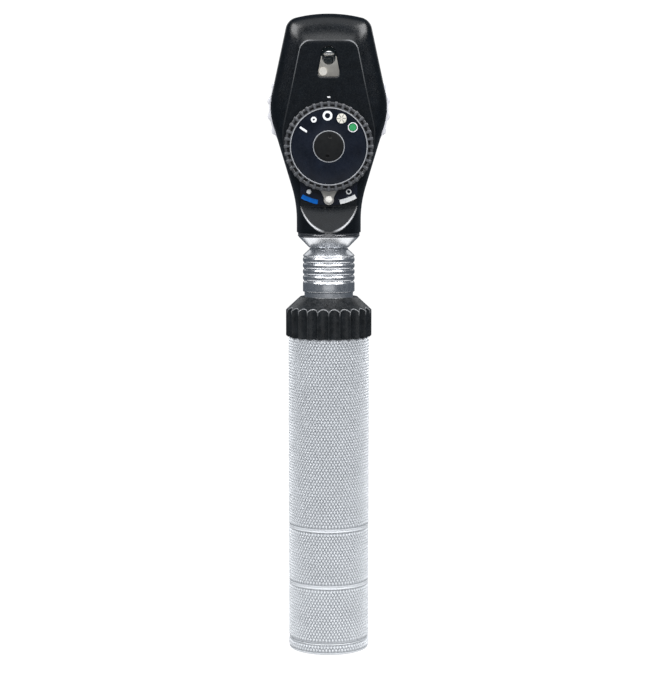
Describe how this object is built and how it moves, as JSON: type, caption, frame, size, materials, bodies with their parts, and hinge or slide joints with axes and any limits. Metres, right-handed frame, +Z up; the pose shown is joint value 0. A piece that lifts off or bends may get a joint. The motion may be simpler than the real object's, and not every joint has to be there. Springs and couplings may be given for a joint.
{
  "type": "ophthalmoscope",
  "caption": "Direct ophthalmoscope: lens-wheel head with aperture dial and filter lever on a knurled battery handle with a dimmer collar and quick-release sleeve.",
  "frame": {"origin": "centre of the flat underside of the screw cap, which the instrument stands on", "axes": "+Z up the handle's axis; -Y towards the patient, the side with the window and the aperture dial; +X to the right seen from that side"},
  "size_m": [0.0456, 0.032, 0.2379],
  "materials": {
    "knurled_aluminium": "satin anodised, diamond knurled",
    "turned_aluminium": "satin turned",
    "sleeve_silver": "fine satin anodised",
    "dark_chrome": "polished dark chrome",
    "steel": "satin",
    "spring_steel": "drawn wire",
    "contact_brass": "gold flashed",
    "collar_black": "satin moulded",
    "shell_black": "smooth satin moulded",
    "inner_black": "matt",
    "dial_black": "satin ribbed",
    "dial_gloss": "gloss printed disc",
    "scale_navy": "gloss printed plate",
    "print_white": "printed",
    "print_blue": "printed",
    "wheel_white": "translucent moulded",
    "board_green": "solder mask",
    "led_white": "moulded lamp",
    "mirror_face": "front-silvered",
    "pin_white": "smooth",
    "lens_glass": "polished",
    "green_glass": "polished",
    "blue_glass": "polished",
    "grey_glass": "polished",
    "soft_rubber": "soft moulded",
    "cell_wrap": "plain printed sleeve"
  },
  "bodies": {
    "handle": {"handle_tube": "knurled_aluminium", "neck_tube": "turned_aluminium", "battery_lower": "cell_wrap", "battery_upper": "cell_wrap", "top_contact": "contact_brass", "contact_carrier": "inner_black", "rheostat_board": "board_green", "lock_spring": "spring_steel", "lock_balls": "steel", "retaining_ring": "steel", "pin_spring": "spring_steel"},
    "cap_spring": {"battery_spring": "spring_steel"},
    "screw_cap": {"bottom_cap": "knurled_aluminium", "cap_o_ring": "soft_rubber"},
    "contact_pin": {"contact_pin": "contact_brass"},
    "dimmer": {"dimmer_ring": "collar_black", "dimmer_wiper": "contact_brass"},
    "release_sleeve": {"lock_sleeve": "sleeve_silver"},
    "head": {"head_plug": "steel", "plug_insulator": "inner_black", "head_contact": "contact_brass", "head_base": "turned_aluminium", "trim_ring": "dark_chrome", "led_board": "board_green", "led_lamp": "led_white", "light_tube": "inner_black", "condenser_lens": "lens_glass", "front_shell": "shell_black", "rear_shell": "shell_black", "shell_screws": "steel", "base_screw": "steel", "scale_plate": "scale_navy", "scale_marks": "print_white", "blue_arc": "print_blue", "index_mark": "print_white", "front_window": "lens_glass", "optics_frame": "inner_black", "projector_tube": "inner_black", "projector_lens": "lens_glass", "deflecting_mirror": "mirror_face", "mirror_pin": "pin_white", "wheel_axle": "steel", "detent_balls": "steel", "detent_springs": "spring_steel", "dial_cap": "dial_black", "eyepiece_ring": "soft_rubber", "dioptre_window": "lens_glass", "brow_rest": "soft_rubber"},
    "lens_wheel": {"lens_wheel": "wheel_white", "correction_lenses": "lens_glass"},
    "aperture_dial": {"aperture_dial": "dial_black", "dial_face": "dial_gloss", "dial_marks": "print_white", "redfree_filter": "green_glass", "star_graticule": "lens_glass"},
    "filter_lever": {"filter_lever": "steel", "lever_pin": "steel", "blue_filter": "blue_glass", "polarising_filter": "grey_glass"}
  },
  "joints": [
    {"name": "cap_travel", "type": "slide", "parent": "handle", "child": "cap_spring", "axis": [0, 0, -1], "range_m": [0, 0.006]},
    {"name": "cap_turn", "type": "hinge", "parent": "cap_spring", "child": "screw_cap", "pos_m": [0, 0, 0], "axis": [0, 0, -1], "range_deg": [0, 1440]},
    {"name": "pin_press", "type": "slide", "parent": "handle", "child": "contact_pin", "axis": [0, 0, -1], "range_m": [0, 0.0008], "stiffness_N_per_m": 600, "springref_m": -0.001, "deforming": ["pin_spring"]},
    {"name": "dimmer_turn", "type": "hinge", "parent": "handle", "child": "dimmer", "pos_m": [0, 0, 0.12], "axis": [0, 0, 1], "range_deg": [0, 110]},
    {"name": "sleeve_release", "type": "slide", "parent": "handle", "child": "release_sleeve", "axis": [0, 0, -1], "range_m": [0, 0.0016], "stiffness_N_per_m": 1500, "springref_m": -0.002, "deforming": ["lock_spring"]},
    {"name": "head_lift", "type": "slide", "parent": "handle", "child": "head", "axis": [0, 0, 1], "range_m": [0, 0.028]},
    {"name": "lens_turn", "type": "hinge", "parent": "head", "child": "lens_wheel", "pos_m": [0, 0.005, 0.2031], "axis": [0, 1, 0], "continuous": true},
    {"name": "aperture_turn", "type": "hinge", "parent": "head", "child": "aperture_dial", "pos_m": [0, -0.0087, 0.1891], "axis": [0, 1, 0], "range_deg": [-54, 54]},
    {"name": "filter_swing", "type": "hinge", "parent": "head", "child": "filter_lever", "pos_m": [0, -0.0065, 0.1891], "axis": [0, 1, 0], "range_deg": [-21, 21]}
  ],
  "couplings": [
    {"joint": "cap_travel", "follows": "cap_turn", "m_per_rad": 0.00023873}
  ]
}
